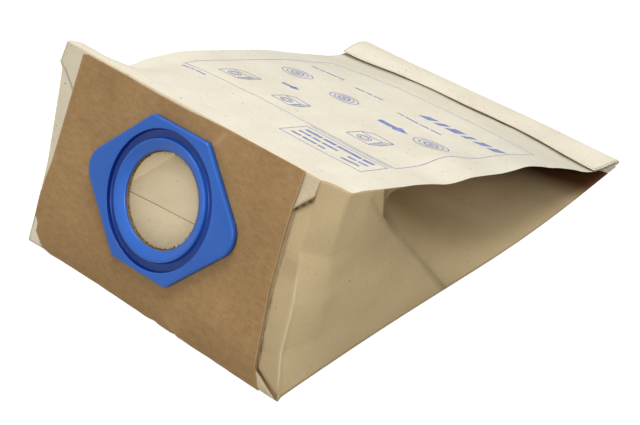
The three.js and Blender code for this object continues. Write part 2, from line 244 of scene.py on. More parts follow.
def side_grid(side, upper_border, lower_border):
    """One side, from the front's fold to the glued end. Up to its crease it is a patch
    inside its borders. Behind the crease it folds in: each half is ruled from the tube's
    edge to the apex line, which sinks in until the fold has its whole width. Soft waves dent
    it, and fade out at its borders."""
    ups = np.linspace(0.0, 1.0, fold_count)
    fold = fold_across(right_fold if side > 0 else left_fold, ups * front_height)
    front = on_front(fold, ups * front_height)
    apex_at = round(apex_share * (fold_count - 1))
    foot = lower_border[open_side_count - 1]
    head = upper_border[open_side_count - 1]
    middle = np.array([side * (bag_width / 2 + apex_proud), *crease_apex])
    lower_share = np.linspace(0.0, 1.0, apex_at + 1)[:, None]
    upper_share = np.linspace(0.0, 1.0, fold_count - apex_at)[1:, None]
    back = np.concatenate([foot + (middle - foot) * lower_share,
                           middle + (head - middle) * upper_share])
    flat = blend_patch(lower_border[:open_side_count], upper_border[:open_side_count], front, back)

    lower = lower_border[open_side_count - 1:]
    upper = upper_border[open_side_count - 1:]
    apex_y = middle[1] + (gusset_end - middle[1]) * np.linspace(0.0, 1.0, len(lower))
    room = upper_height(np.full_like(apex_y, side * bag_width / 2), apex_y)
    ramp = np.clip((apex_y - middle[1]) / gusset_ramp, 0.0, 1.0)
    opening = np.sin(math.pi / 2 * ramp)
    depth = np.sqrt(gusset_width ** 2 - np.minimum(room / 2, gusset_width) ** 2) * opening
    sunk = smooth_step(apex_y, middle[1], middle[1] + gusset_sink)
    apex = np.stack([side * (bag_width / 2 + apex_proud * (1 - ramp) - depth), apex_y,
                     middle[2] + (room / 2 - middle[2]) * sunk], axis=-1)
    bend = np.array([side * side_sag[0], 0.0, side_sag[1]])
    sag = np.sin(math.pi * lower_share)[:, :, None] * bend * opening[:, None]
    lower_half = lower[None] + (apex - lower)[None] * lower_share[:, :, None] + sag
    upper_half = apex[None] + (upper - apex)[None] * upper_share[:, :, None]
    folded = np.concatenate([lower_half, upper_half])
    grid = np.concatenate([flat, folded[:, 1:]], axis=1)

    row = np.linspace(0.0, 1.0, grid.shape[0])[:, None]
    column = np.linspace(0.0, 1.0, grid.shape[1])[None, :]
    calm = np.sin(math.pi * row) * np.clip(column * 12.0, 0.0, 1.0)
    calm = calm * np.clip((1 - column) * 6.0, 0.0, 1.0)
    own_waves = [(height, wavelength, seed + side) for height, wavelength, seed in side_waves]
    grid[..., 0] += side * calm * waves(grid[..., 1], grid[..., 2], own_waves)
    return grid


# The front's paper: its hole, and its dents beside the card
paper_hole_radius = 26.3
front_rings = 64
front_creases = [((76, 19), (94, 21.5), 1.2, -0.45)]
front_waves = [(0.12, 18.0, 12)]
strip_step = -0.6


def front_relief(across, up):
    """Small dents of the front's paper beside the card, down its right strip."""
    step = strip_step * smooth_step(up, 62.0, 71.0) * (1 - smooth_step(up, 72.5, 74.0))
    step = step * smooth_step(across, 70.0, 75.0)
    return step + creases(across, up, front_creases) + waves(across, up, front_waves)


def hole_rays(outline, radius, rings):
    """Rays from the rim of the inlet's round hole to an outline, with their points closer
    together towards the outline, and each ring's share of the way."""
    turn = np.arctan2(outline[:, 1] - inlet_up, outline[:, 0] - inlet_across)
    rim = np.stack([inlet_across + radius * np.cos(turn), inlet_up + radius * np.sin(turn)],
                   axis=-1)
    share = 1.0 - (1.0 - np.linspace(0.0, 1.0, rings)) ** 1.5
    return rim[None] + (outline - rim)[None] * share[:, None, None], share


def front_grid(outline):
    """The front, from the rim of its round hole to its outline, where its relief ends."""
    flat, share = hole_rays(outline, paper_hole_radius, front_rings)
    inside = 1.0 - share[:, None] ** 8
    return on_front(flat[..., 0], flat[..., 1], inside * front_relief(flat[..., 0], flat[..., 1]))


fold_softness = 1.4
slant_start = 240.0
end_slant = 4.5


def slant_end(grid):
    """Draws the tube's end forward towards its left, where the bag was glued a little askew."""
    moved = grid.copy()
    left_share = np.clip((bag_width / 2 - grid[..., 0]) / bag_width, 0.0, 1.0)
    end_share = np.clip((grid[..., 1] - slant_start) / (tube_end - slant_start), 0.0, 1.0)
    moved[..., 1] -= end_slant * left_share * end_share
    return moved


def soften_fold(grid, edge_y, edge_z, inwards):
    """Rounds the fold that runs across at (edge_y, edge_z): points near it move inwards, most
    at the fold itself."""
    away = np.hypot(grid[..., 1] - edge_y, grid[..., 2] - edge_z) / fold_softness
    pull = 0.3 * fold_softness * np.clip(1.0 - away, 0.0, 1.0) ** 2
    moved = grid.copy()
    moved[..., 1] += pull * inwards[0]
    moved[..., 2] += pull * inwards[1]
    return moved


# Points closer than this are merged, and edges shorter than this are taken out, in metres
merge_distance = 1e-5
shortest_edge = 1e-6


def join_grids(name, grids, tones, facing=None):
    """Makes one mesh object of grids of points, merging the border points they share. tones
    gives each grid's tan, its wear and painted highlight, and its stain and painted shade. An open
    sheet is turned to face one way."""
    points = np.concatenate([settle(grid).reshape(-1, 3) for grid in grids])
    colours = np.concatenate([np.broadcast_to(tone, grid.shape).reshape(-1, 3)
                              for grid, tone in zip(grids, tones)])
    quads = []
    start = 0
    for grid in grids:
        rows, columns = grid.shape[:2]
        index = start + np.arange(rows * columns).reshape(rows, columns)
        quads.append(np.stack([index[:-1, :-1], index[:-1, 1:], index[1:, 1:], index[1:, :-1]],
                              axis=-1).reshape(-1, 4))
        start += rows * columns
    mesh = bpy.data.meshes.new(name)
    quads = np.concatenate(quads)
    mesh.from_pydata(points.tolist(), [], quads.tolist())
    tone_layer = mesh.attributes.new("tone", "FLOAT_COLOR", "CORNER")
    corner_tones = np.ones((quads.size, 4), dtype=np.float32)
    corner_tones[:, :3] = colours[quads.ravel()]
    tone_layer.data.foreach_set("color", corner_tones.ravel())
    work = bmesh.new()
    work.from_mesh(mesh)
    bmesh.ops.remove_doubles(work, verts=work.verts, dist=merge_distance)
    bmesh.ops.dissolve_degenerate(work, edges=work.edges, dist=shortest_edge)
    bmesh.ops.recalc_face_normals(work, faces=work.faces)
    if facing is not None:
        lean = sum((face.normal * face.calc_area() for face in work.faces), start=Vector())
        if lean.dot(facing) < 0:
            bmesh.ops.reverse_faces(work, faces=work.faces)
    work.to_mesh(mesh)
    work.free()
    mesh.polygons.foreach_set("use_smooth", np.ones(len(mesh.polygons), dtype=bool))
    piece = bpy.data.objects.new(name, mesh)
    bpy.context.scene.collection.objects.link(piece)
    return piece


def plain_colour(red, green, blue):
    """A colour written as a screen shows it, 0 to 255, turned into the shader's numbers."""
    shown = np.array([red, green, blue]) / 255.0
    linear = np.where(shown <= 0.04045, shown / 12.92, ((shown + 0.055) / 1.055) ** 2.4)
    return (*linear.tolist(), 1.0)


def feed(tree, socket, value):
    """Gives an input its value: a link from another socket, or a plain number or colour."""
    if isinstance(value, bpy.types.NodeSocket):
        tree.links.new(value, socket)
    else:
        socket.default_value = value


def add_node(tree, kind, **values):
    """Adds a shader node. Values go to its properties or, by name, to its inputs."""
    node = tree.nodes.new(kind)
    for name, value in values.items():
        if hasattr(node, name):
            setattr(node, name, value)
        else:
            feed(tree, node.inputs[name.replace("_", " ")], value)
    return node


def join_shaders(tree, kind, first, second, output, **values):
    """Mixes or adds two shaders, and gives the result to the material's output."""
    joined = add_node(tree, kind, **values)
    tree.links.new(first.outputs[0], joined.inputs[-2])
    tree.links.new(second.outputs[0], joined.inputs[-1])
    tree.links.new(joined.outputs[0], output.inputs["Surface"])


def combine(tree, operation, *terms):
    """A Math node's result for one or two terms, each a socket or a number."""
    node = add_node(tree, "ShaderNodeMath", operation=operation)
    for socket, term in zip(node.inputs, terms):
        feed(tree, socket, term)
    return node.outputs[0]


def mix_colour(tree, share, first, second, way="MIX"):
    """Mixes two colours, each a socket or a plain colour, by share, a socket or a number."""
    node = add_node(tree, "ShaderNodeMix", data_type="RGBA", blend_type=way)
    feed(tree, node.inputs[0], share)
    feed(tree, node.inputs[6], first)
    feed(tree, node.inputs[7], second)
    return node.outputs[2]


def darken(tree, share, colour, factor):
    """The colour, multiplied by factor as far as share goes."""
    darker = mix_colour(tree, 1.0, colour, (*factor, 1), "MULTIPLY")
    return mix_colour(tree, share, colour, darker)


def between(tree, value, full, none):
    """A share that is 1 at full and 0 at none, for a value that is a socket."""
    ramp = add_node(tree, "ShaderNodeMapRange", From_Min=none, From_Max=full, Value=value)
    return ramp.outputs["Result"]


def noise_share(tree, place, size, low, high, detail=3.0):
    """A share from 0 to 1 that follows soft noise with grains of that size in millimetres."""
    noise = add_node(tree, "ShaderNodeTexNoise", Scale=1000.0 / size, Detail=detail, Vector=place)
    return between(tree, noise.outputs["Fac"], high, low)


def grain_bump(tree, place, size, detail, strength, height, roughness=0.5):
    """A Bump node for a surface with grains of that size and height in millimetres."""
    noise = add_node(tree, "ShaderNodeTexNoise", Scale=1000.0 / size, Detail=detail,
                     Roughness=roughness, Vector=place)
    return add_node(tree, "ShaderNodeBump", Strength=strength, Distance=height / 1000.0,
                    Height=noise.outputs["Fac"])


def start_finish(name):
    """A new material: itself, its node tree, its shader and the place of a point on it."""
    material = bpy.data.materials.new(name)
    material.use_nodes = True
    tree = material.node_tree
    place = tree.nodes.new("ShaderNodeTexCoord").outputs["Object"]
    return material, tree, tree.nodes["Principled BSDF"], place


def tone_parts(tree):
    """The tan, the wear and painted highlight, and the stain and painted shade that join_grids() gave
    the piece.
    """
    tone = add_node(tree, "ShaderNodeAttribute", attribute_name="tone")
    parts = add_node(tree, "ShaderNodeSeparateColor", Color=tone.outputs["Color"])
    return [parts.outputs[name] for name in ("Red", "Green", "Blue")]


# The lower panel's fold line, in metres: the direction across it, and how far it is that way
floor_fold_direction = (-0.0812, 0.9967, 0.0)
floor_fold_offset = -0.0701


def floor_fold_shade_share(tree, place):
    """Where painted shade darkens the lower panel's fold line: 1 on a line across it, seen
    through the inlet. The line is where place, times the direction across it, comes to its offset."""
    across = add_node(tree, "ShaderNodeVectorMath", operation="DOT_PRODUCT")
    feed(tree, across.inputs[0], place)
    feed(tree, across.inputs[1], floor_fold_direction)
    past = combine(tree, "SUBTRACT", across.outputs["Value"], floor_fold_offset)
    where = add_node(tree, "ShaderNodeSeparateXYZ", Vector=place)
    line = between(tree, combine(tree, "ABSOLUTE", past), 0.0001, 0.0005)
    low = between(tree, where.outputs["Z"], 0.0012, 0.0016)
    inside = between(tree, where.outputs["X"], 0.055, 0.065)
    return combine(tree, "MULTIPLY", combine(tree, "MULTIPLY", line, low), inside)


# The paper's colours. The worn pale also stands for painted highlights on the folds, and the glue
# brown also for painted shade and painted shadows.
paper_pale = plain_colour(247, 243, 228)
paper_tan = plain_colour(213, 193, 152)
speck_brown = plain_colour(178, 150, 108)
worn_and_highlight_pale = plain_colour(242, 228, 202)
glue_and_shade_brown = plain_colour(88, 53, 24)
fold_shade_brown = plain_colour(150, 120, 80)
light_through = 0.26


def paper_finish():
    """Filter paper: pale on the printed panel and tan elsewhere, with clouds, fibres, specks, worn
    folds that also stand for painted highlights, glue stains, painted shade and painted shadows, and a
    line of painted shade along the lower panel's fold. Some light comes through it."""
    material, tree, paper, place = start_finish("bag_paper")
    tan, wear_and_highlight, painted_shade_and_stain = tone_parts(tree)
    colour = mix_colour(tree, tan, paper_pale, paper_tan)
    colour = darken(tree, noise_share(tree, place, 26.0, 0.3, 0.7), colour, (0.93, 0.92, 0.90))
    fibre = noise_share(tree, place, 1.3, 0.35, 0.65, 5.0)
    colour = darken(tree, fibre, colour, (0.95, 0.94, 0.92))
    speck = noise_share(tree, place, 2.2, 0.70, 0.76, 2.0)
    colour = mix_colour(tree, speck, colour, speck_brown)
    # Worn pale folds, which also stand for painted highlights
    colour = mix_colour(tree, wear_and_highlight, colour, worn_and_highlight_pale)
    # Glue stains, painted shade and painted shadows
    colour = mix_colour(tree, painted_shade_and_stain, colour, glue_and_shade_brown)
    # A line of painted shade along the lower panel's fold, seen through the inlet
    colour = mix_colour(tree, floor_fold_shade_share(tree, place), colour, fold_shade_brown)
    crumple = grain_bump(tree, place, 9.0, 4.0, 0.35, 0.6, 0.6)
    grain = grain_bump(tree, place, 0.9, 2.0, 0.18, 0.1)
    feed(tree, grain.inputs["Normal"], crumple.outputs["Normal"])
    feed(tree, paper.inputs["Base Color"], colour)
    feed(tree, paper.inputs["Normal"], grain.outputs["Normal"])
    paper.inputs["Roughness"].default_value = 0.82
    paper.inputs["Specular IOR Level"].default_value = 0.25
    through = add_node(tree, "ShaderNodeBsdfTranslucent", Color=colour)
    join_shaders(tree, "ShaderNodeMixShader", paper, through, tree.nodes["Material Output"],
                 Fac=light_through)
    return material


paper_material = paper_finish()

# The tube's five sheets as grids of points. Rows lie closer together near the front.
column_count = 121
row_crowding = 1.4
crease_top_behind = 27.5
crease_foot = 130.0
lower_rest = 0.1
lower_rim_fade = 8.0
columns = np.sin(np.linspace(-0.5, 0.5, column_count) * math.pi)
across_share = (columns + 1) / 2
open_share = np.linspace(0.0, 1.0, open_side_count) ** row_crowding
folded_share = np.linspace(0.0, 1.0, folded_side_count)[1:]
crease_head = fold_back + crease_top_behind
upper_rows = np.concatenate([fold_back + (crease_head - fold_back) * open_share,
                             crease_head + (tube_end - crease_head) * folded_share])
lower_rows = np.concatenate([crease_foot * open_share,
                             crease_foot + (tube_end - crease_foot) * folded_share])

upper_y = np.repeat(upper_rows[:, None], column_count, axis=1)
upper_left_x = upper_left_edge(upper_y)
upper_x = upper_left_x + (upper_right_edge(upper_y) - upper_left_x) * across_share
upper_z = upper_height(upper_x, upper_y) + panel_relief(upper_x, upper_y)
upper_panel = np.stack([upper_x, upper_y, upper_z], axis=-1)

lower_y = np.repeat(lower_rows[:, None], column_count, axis=1)
lower_x = lower_edge(lower_y) * columns
lower_inside = (np.clip((1 - np.abs(columns)) * 12, 0, 1) * np.clip(lower_y / lower_rim_fade, 0, 1)
                * np.clip((tube_end - lower_y) / lower_rim_fade, 0, 1))
lower_z = lower_rest + lower_inside * lower_relief(lower_x, lower_y)
lower_panel = np.stack([lower_x, lower_y, lower_z], axis=-1)
lower_panel[0, :, 2] = 0.0

right_side = side_grid(1, upper_panel[:, -1], lower_panel[:, -1])
left_side = side_grid(-1, upper_panel[:, 0], lower_panel[:, 0])

fold_heights = np.linspace(0.0, 1.0, fold_count) * front_height
bottom_line = np.stack([lower_panel[0, :, 0], np.zeros(column_count)], axis=-1)
top_line = np.stack([upper_panel[0, :, 0], np.full(column_count, front_height)], axis=-1)
right_line = np.stack([fold_across(right_fold, fold_heights), fold_heights], axis=-1)
left_line = np.stack([fold_across(left_fold, fold_heights), fold_heights], axis=-1)
front_sheet = front_grid(np.concatenate([bottom_line, right_line[1:], top_line[::-1][1:],
                                         left_line[::-1][1:]]))

tube_grids = []
for grid in (upper_panel, right_side, left_side, front_sheet, lower_panel):
    grid = soften_fold(grid, 0.0, 0.0, (0.7, 0.7))
    grid = soften_fold(grid, fold_back, fold_rise, (0.0, -1.0))
    tube_grids.append(slant_end(grid))


def upper_tone(x, y):
    """The upper panel is pale, a little tanner at its front fold and near its end, worn along
    the fold, with a glue stain and painted shadow under the folded end's free edge."""
    tan = 0.06 + 0.2 * (1 - smooth_step(y, fold_back, fold_back + 3.0))
    tan = tan + 0.12 * smooth_step(y, 225.0, 262.0)
    wear_and_highlight = 0.5 * crease(x, y, (-114, fold_back), (82, fold_back), 0.8)
    # A glue stain and painted shadow under the folded end's free edge
    painted_shade_and_stain = crease(x, y, (-101, 266.0), (98, 269.2), 1.2)
    return np.stack([tan, wear_and_highlight, np.clip(painted_shade_and_stain, 0, 1)], axis=-1)


# The line of each side's crease, along the bag and up
crease_line = [(69.5, 91.2), (76.0, 77.1), (crease_foot, 0.0)]


def side_tone(grid):
    """A side is tan, with its front fold a little worn and painted with a highlight. Painted
    shade darkens it towards the upper edge and inside the fold, most along its crease and just behind
    that."""
    y = grid[..., 1]
    z = grid[..., 2]
    wear_and_highlight = np.zeros(y.shape)
    # A pale worn line along the front fold, which also stands for a painted highlight
    wear_and_highlight[:, 0] = 0.5 * smooth_step(z[:, 0], 3.0, 12.0) * (1 - smooth_step(z[:, 0], 52.0, 62.0))
    column = np.arange(grid.shape[1])[None, :] - (open_side_count - 1)
    behind = np.where(column >= 0, np.exp(-column / 1.6), 0.0)
    behind_high = np.where(column >= 0, np.exp(-column / 9.0), 0.0) * smooth_step(z, 56.0, 80.0)
    below = upper_height(np.full_like(y, bag_width / 2), y) - z
    depth = bag_width / 2 - np.abs(grid[..., 0])
    # Painted shade towards the upper edge, under the upper panel's overhang, and deeper inside the
    # fold
    overhang_shade = 0.04 + 0.16 * smooth_step(y, 50.0, 85.0) + 0.15 * smooth_step(depth, 4.0, 24.0)
    # Painted shade right under the upper edge, further back
    far_edge_shade = 0.9 * smooth_step(y, 130.0, 185.0) * (1 - smooth_step(below, 6.0, 24.0))
    line = 0.0
    for start, end in zip(crease_line, crease_line[1:]):
        line = np.maximum(line, crease(y, z, start, end, 0.8))
    painted_shade_and_stain = overhang_shade * (1 - smooth_step(below, 24.0, 66.0)) + far_edge_shade
    # Painted shade along the crease and just behind it
    painted_shade_and_stain = painted_shade_and_stain + 0.16 * behind + 0.3 * line + 0.4 * behind_high
    # The left side, seen inside the bag, is a paler tan as painted light
    tan = np.full_like(wear_and_highlight, 1.0 if grid[0, 0, 0] > 0 else 0.7)
    return np.stack([tan, wear_and_highlight, np.clip(painted_shade_and_stain, 0.0, 1.0)], axis=-1)


def lower_tone(x, y):
    """The lower panel is painted a paler tan than the sides as painted light inside the bag, with a
    faint line of painted shade along its short fold.
    """
    painted_shade_and_stain = 0.12 * crease(x, y, *short_fold, 0.5)
    return np.stack([np.full_like(x, 0.55), np.zeros_like(x), painted_shade_and_stain], axis=-1)


# Painted shadows in the gaps, and painted shade on folds, on the front: start, end, strength and width
front_painted_shadows = [((81.6, 9.9), (99.0, 1.6), 1.3, 1.1), ((98.5, 6.3), (99.8, 1.4), 1.2, 0.8),
              ((87.4, 0.4), (81.6, 10.5), 1.1, 1.1), ((81.4, 10.5), (79.0, 25.0), 1.1, 0.9),
              ((79.0, 25.0), (75.2, 50.2), 0.85, 0.7), ((75.2, 50.2), (72.7, 95.0), 0.7, 0.6),
              ((81.5, 12.0), (79.8, 22.0), 0.4, 4.0), ((79.0, 20.0), (94.5, 21.7), 0.2, 1.2),
              ((82.6, 106.0), (77.4, 100.6), 1.2, 1.0), ((77.4, 100.6), (71.5, 95.0), 1.2, 1.0)]


def front_tone(grid):
    """The front's paper is tan, with painted shade towards its lower right, its right fold is worn
    pale and painted with a highlight, and painted shade and shadows darken the rim of the hole, the
    gaps along the card, the flaps' ends and a patch on the right strip."""
    across = grid[..., 0]
    up = grid[..., 2] / math.cos(front_lean)
    # A pale worn line along the right fold, which also stands for a painted highlight
    away = fold_across(right_fold, up) - across
    wear_and_highlight = 0.55 * np.exp(-np.abs(away) / 0.8) * smooth_step(up, 3.0, 12.0)
    wear_and_highlight = wear_and_highlight * (1 - smooth_step(up, 58.0, 68.0))
    # Painted shade at the rim of the hole, and painted shadows in the gaps
    from_hole = np.hypot(across - inlet_across, up - inlet_up) - paper_hole_radius
    painted_shade_and_stain = 0.95 * np.exp(-from_hole / 1.0)
    for start, end, strength, width in front_painted_shadows:
        painted_shade_and_stain = np.maximum(painted_shade_and_stain, strength * crease(across, up, start, end, width))
    right = smooth_step(across, -40.0, 60.0)
    # Painted shade towards the lower right
    lower_right_shade = right * (0.08 + 0.16 * (1 - smooth_step(up, 10.0, 70.0)))
    shade = 0.14 * smooth_step(up, 61.0, 63.0) * (1 - smooth_step(up, 70.0, 71.5))
    shade = shade * smooth_step(across, 75.0, 77.0) * smooth_step(away, 0.5, 1.5)
    painted_shade_and_stain = np.clip(np.maximum(painted_shade_and_stain, lower_right_shade) + shade, 0.0, 1.0)
    return np.stack([0.4 + 0.6 * right, wear_and_highlight, painted_shade_and_stain], axis=-1)


paper_tube = join_grids("paper_tube", tube_grids, [
    upper_tone(upper_x, upper_y), side_tone(right_side), side_tone(left_side),
    front_tone(front_sheet), lower_tone(lower_x, lower_y)])
paper_tube.data.materials.append(paper_material)
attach(paper_tube, "root")
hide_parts("paper_bag")

# The block bottom is closed by two flaps of the same paper, glued over the front. Their
# slanted ends show to the right and left of the card plate, and lift a little at the right.
front_facing = (0.0, -0.9, 0.44)
paper_wall = 0.35
flap_step = 0.45
flap_inset = 0.15
flap_slant = 12.0
upper_flap_low = 91.0
upper_flap_high = front_height - 0.6
upper_flap_corner = 106.7
upper_flap_left_corner = 103.0
lower_flap_high = 30.0
lower_flap_end = [(0.8, 98.6), (9.0, 81.0), (30.0, 70.0)]


def give_wall(piece, wall, offset=-1.0):
    """Gives a sheet its thickness."""
    thicken = piece.modifiers.new("wall", "SOLIDIFY")
    thicken.thickness = wall / 1000.0
    thicken.offset = offset


def flap_sheet(name, ups, left, right, lift):
    """A glued flap, from its left to its right end at each height up the front. lift gives
    how far it stands off the front's paper."""
    share = np.linspace(0.0, 1.0, 90)[None, :]
    across = left[:, None] + (right - left)[:, None] * share
    up = np.repeat(ups[:, None], share.shape[1], axis=1)
    grid = on_front(across, up, flap_step + lift(across, up))
    towards_right = smooth_step(across, -40.0, 60.0)
    # Painted shade towards the flap's lower right, as on the front
    painted_shade_and_stain = 0.12 * (towards_right * (1 - smooth_step(up, 10.0, 70.0)))
    tone = np.stack([0.4 + 0.35 * towards_right, np.zeros_like(painted_shade_and_stain), painted_shade_and_stain], axis=-1)
    piece = join_grids(name, [grid], [tone], facing=front_facing)
    give_wall(piece, paper_wall, 0.0)
    piece.data.materials.append(paper_material)
    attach(piece, "root")
    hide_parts("paper_bag")


def upper_flap_lift(across, up):
    """The upper flap's slanted right end lifts off, most at its point. Its left end lies
    pressed down flat."""
    end = across - up + (upper_flap_corner - right_fold[-1][1])
    lifted = 0.9 * smooth_step(end, -10.0, 0.5) * smooth_step(across, 68.0, 76.0)
    free = smooth_step(across, -98.0, -88.0)
    return lifted - 0.24 * (1 - free) + 0.06 * ripple(across, up, 9.0, 41) * free


def lower_flap_lift(across, up):
    """The lower flap's slanted right end lifts off towards its tip."""
    return 0.5 * smooth_step(across, 74.0, 98.0) * smooth_step(up, -1.0, 4.0)


flap_ups = np.linspace(upper_flap_low, upper_flap_high, 44)
right_slant = np.clip(upper_flap_corner - flap_ups, 0.0, flap_slant)
left_slant = np.clip(upper_flap_left_corner - flap_ups, 0.0, flap_slant)
flap_left = fold_across(left_fold, flap_ups) + left_slant + flap_inset
flap_right = fold_across(right_fold, flap_ups) - right_slant - flap_inset
flap_sheet("upper_flap", flap_ups, flap_left, flap_right, upper_flap_lift)

flap_ups = np.linspace(lower_flap_end[0][0], lower_flap_high, 34)
flap_left = fold_across(left_fold, flap_ups) + 2 * flap_inset
flap_right = fold_across(lower_flap_end, flap_ups)
flap_sheet("lower_flap", flap_ups, flap_left, flap_right, lower_flap_lift)

# The glued end is the flat end of the tube, folded up and back over the upper panel once
# and glued down. Its layers show at its right end, and its free edge lifts at the left.
band_reach = 26.0
band_slant = 0.5
band_stack = 1.9
band_step = 0.5
band_clear = 0.12
band_lift = 0.8
band_arch = 2.4
band_roll = 2.0
band_wave = 0.25
band_shift = 0.4
band_tuck = 14.0
band_tuck_end = 3.2

# How much further each layer reaches forward and to both sides
band_layers = [(0.0, 0.0), (0.9, 0.5), (-0.8, -0.4)]


def band_layer(layer, extra_reach, extra_width):
    """One layer of the folded end: under the tube, round its end and back over the panel to
    its free edge. It rolls up towards the left, where the edge lifts and arches."""
    side = np.linspace(-1.0, 1.0, 100)
    x = side * (bag_width / 2 + extra_width) + band_shift * (side > 0.999) * (layer - 1)
    left_share = (1 - side) / 2
    roll = band_roll * left_share ** 6
    reach = band_reach + band_slant * left_share + extra_reach
    reach = reach + band_wave * ripple(x, 0 * x, 30.0, 50 + layer)
    back_height = upper_height(x, np.full_like(x, bag_length)) + band_stack - band_step * layer + roll
    radius = back_height / 2
    turns = np.linspace(-math.pi / 2, math.pi / 2, 12)[:, None]
    round_y = bag_length - radius + radius * np.cos(turns)
    round_z = radius + radius * np.sin(turns) + band_clear
    under_y = np.linspace(bag_length - band_tuck, bag_length - band_tuck_end, 5)[:, None] + 0 * x
    under_z = np.full(under_y.shape, band_clear) + band_step * layer
    over_share = np.linspace(0.0, 1.0, 22)[:, None]
    over_y = bag_length - radius - (reach - radius) * over_share
    over_z = upper_height(x, over_y) + band_stack - band_step * layer + roll * (1 - over_share) ** 2
    lifted = (left_share * over_share) ** 2 * band_lift
    lifted = lifted + np.sin(math.pi * over_share) * left_share ** 2 * band_arch
    over_z = over_z + lifted + band_clear
    y = np.concatenate([under_y, round_y, over_y[1:]])
    z = np.concatenate([under_z, round_z, over_z[1:]])
    return np.stack([np.broadcast_to(x, y.shape), y - end_slant * left_share, z], axis=-1)


for layer, (extra_reach, extra_width) in enumerate(band_layers):
    band_grid = band_layer(layer, extra_reach, extra_width)
    band_tone = (0.12, 0.0, 0.0)
    band_piece = join_grids(f"folded_end_{layer + 1}", [band_grid], [band_tone], facing=(0, 0, 1))
    give_wall(band_piece, paper_wall)
    band_piece.data.materials.append(paper_material)
    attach(band_piece, "root")
    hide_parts("paper_bag")

# The print on the upper panel is one colour of ink: a thin frame, plain pictures of a bag
# and of rings, arrows, and rows of bars. It is laid on the panel as thin strips of ink.
ink_rise = 0.09
ink_line = 0.62
frame_line = 0.42
label_line = 0.5
ink_dark = plain_colour(100, 113, 172)
ink_thin = plain_colour(142, 151, 190)
frame_left, frame_right, frame_front, frame_back = -83.0, 80.0, 110.0, 235.0
label_left, label_right, label_front, label_back = 20, 79, 84, 105
label_rule = 108.2

# Places and sizes of the pictures, and rows of bars: x, y, bar lengths, bar height
bag_pictures = [(-60, 128, 0.95), (-16, 126, 0.85), (40, 130, 1.0)]
ring_pictures = [(-58, 178, 1.0), (-14, 172, 0.9), (58, 166, 1.05)]
arrows = [(30, 166, 22, 10), (-36, 150, 14, 6)]
label_rows = [(24, 100.5, [12, 9, 17, 8], 2.4), (24, 95.0, [9, 6, 11], 1.8), (60, 95.0, [6, 7], 1.8),
              (24, 89.5, [7, 10, 5], 1.8), (60, 89.5, [13], 1.8)]
panel_rows = [(-72, 205, [6, 4, 9, 5], 1.6), (-30, 199, [8, 5, 7], 1.6), (12, 190, [5, 10, 7, 8], 1.3)]
corner_row = (-80, 105.5, [6, 3, 8], 1.3)

# A row of taller bars that lean: its start, spacing, height, lean and bar lengths
bold_start = (22, 207)
bold_spacing = 10.2
bold_height = 6.5
bold_lean = 0.55
bold_bars = (7.5, 5.0, 8.5, 4.0, 6.5, 7.0)


def on_panel(x, y):
    """Points on the upper panel, a film of ink above its paper."""
    x, y = np.broadcast_arrays(x, y)
    return np.stack([x, y, upper_height(x, y) + panel_relief(x, y) + ink_rise], axis=-1)


def ink_strip(points, line=ink_line):
    """A strip of ink along points (x, y) on the panel, as wide as line: each point of the
    path, moved half the line's width to both sides."""
    points = np.asarray(points, dtype=float)
    steps = np.hypot(*np.diff(points, axis=0).T)
    stations = np.concatenate([[0.0], np.cumsum(steps)])
    even = np.linspace(0, stations[-1], max(2, int(stations[-1] / 1.5)))
    fine = np.unique(np.concatenate([even, stations]))
    x = np.interp(fine, stations, points[:, 0])
    y = np.interp(fine, stations, points[:, 1])
    run = np.stack([np.gradient(x), np.gradient(y)], axis=-1)
    run /= np.maximum(np.linalg.norm(run, axis=-1, keepdims=True), 1e-6)
    return np.stack([on_panel(x - run[:, 1] * aside, y + run[:, 0] * aside)
                     for aside in (-line / 2, line / 2)])


def ink_ring(x, y, wide, long, line=ink_line):
    """An oval line of ink."""
    angles = np.linspace(0.0, 2 * math.pi, 40)
    oval = np.stack([x + wide * np.cos(angles), y + long * np.sin(angles)], axis=-1)
    return ink_strip(oval, line)


def ink_bar(x, y, length, height, shear=0.0):
    """A solid bar of ink along x, leaning by shear."""
    across = np.linspace(-length / 2, length / 2, 8)
    up = np.linspace(-height / 2, height / 2, 4)[:, None]
    return on_panel(x + across + shear * up, y + up)


def ink_row(x, y, lengths, height, gap=1.2):
    """A row of bars of the given lengths."""
    bars = []
    for length in lengths:
        bars.append(ink_bar(x + length / 2, y, length, height))
        x += length + gap
    return bars


def ink_bag(x, y, size):
    """A plain picture of a block-bottom bag: its front with two rings, a slanting top and a
    side with three strokes."""
    front = [(-8, -6), (8, -6), (8, 6), (-8, 6), (-8, -6)]
    top = [(-8, 6), (-3, 12), (12, 11), (8, 6)]
    edge = [(12, 11), (12, 0), (8, -6)]
    shapes = [ink_strip(np.array(path) * size + (x, y)) for path in (front, top, edge)]
    for stroke in range(3):
        path = [(9 + stroke, -3.5 + 1.6 * stroke), (9 + stroke, 5 + stroke)]
        shapes.append(ink_strip(np.array(path) * size + (x, y), 0.3))
    return shapes + [ink_ring(x, y, 4.2 * size, 3.6 * size), ink_ring(x, y, 2.6 * size, 2.2 * size)]


def ink_rings(x, y, size):
    """A plain picture of three rings round a short bar."""
    return [ink_ring(x, y, 11 * size, 7 * size), ink_ring(x, y, 7.6 * size, 4.8 * size),
            ink_ring(x, y, 4.2 * size, 2.6 * size, 1.1), ink_bar(x, y, 3.0 * size, 1.4 * size)]


def ink_arrow(x, y, length, height):
    """A solid arrow that points along x: a bar, then a head that narrows to a point."""
    share = np.linspace(0.0, 1.0, 14)
    half = np.where(share < 0.55, height * 0.22, height * (1 - share) / 0.9)
    up = np.array([-1.0, 0.0, 1.0])[:, None]
    return on_panel(x + (share - 0.5) * length, y + up * half)


def ink_outline(left, right, front, back, line):
    """A rectangle of ink lines."""
    return ink_strip([(left, front), (right, front), (right, back), (left, back), (left, front)], line)


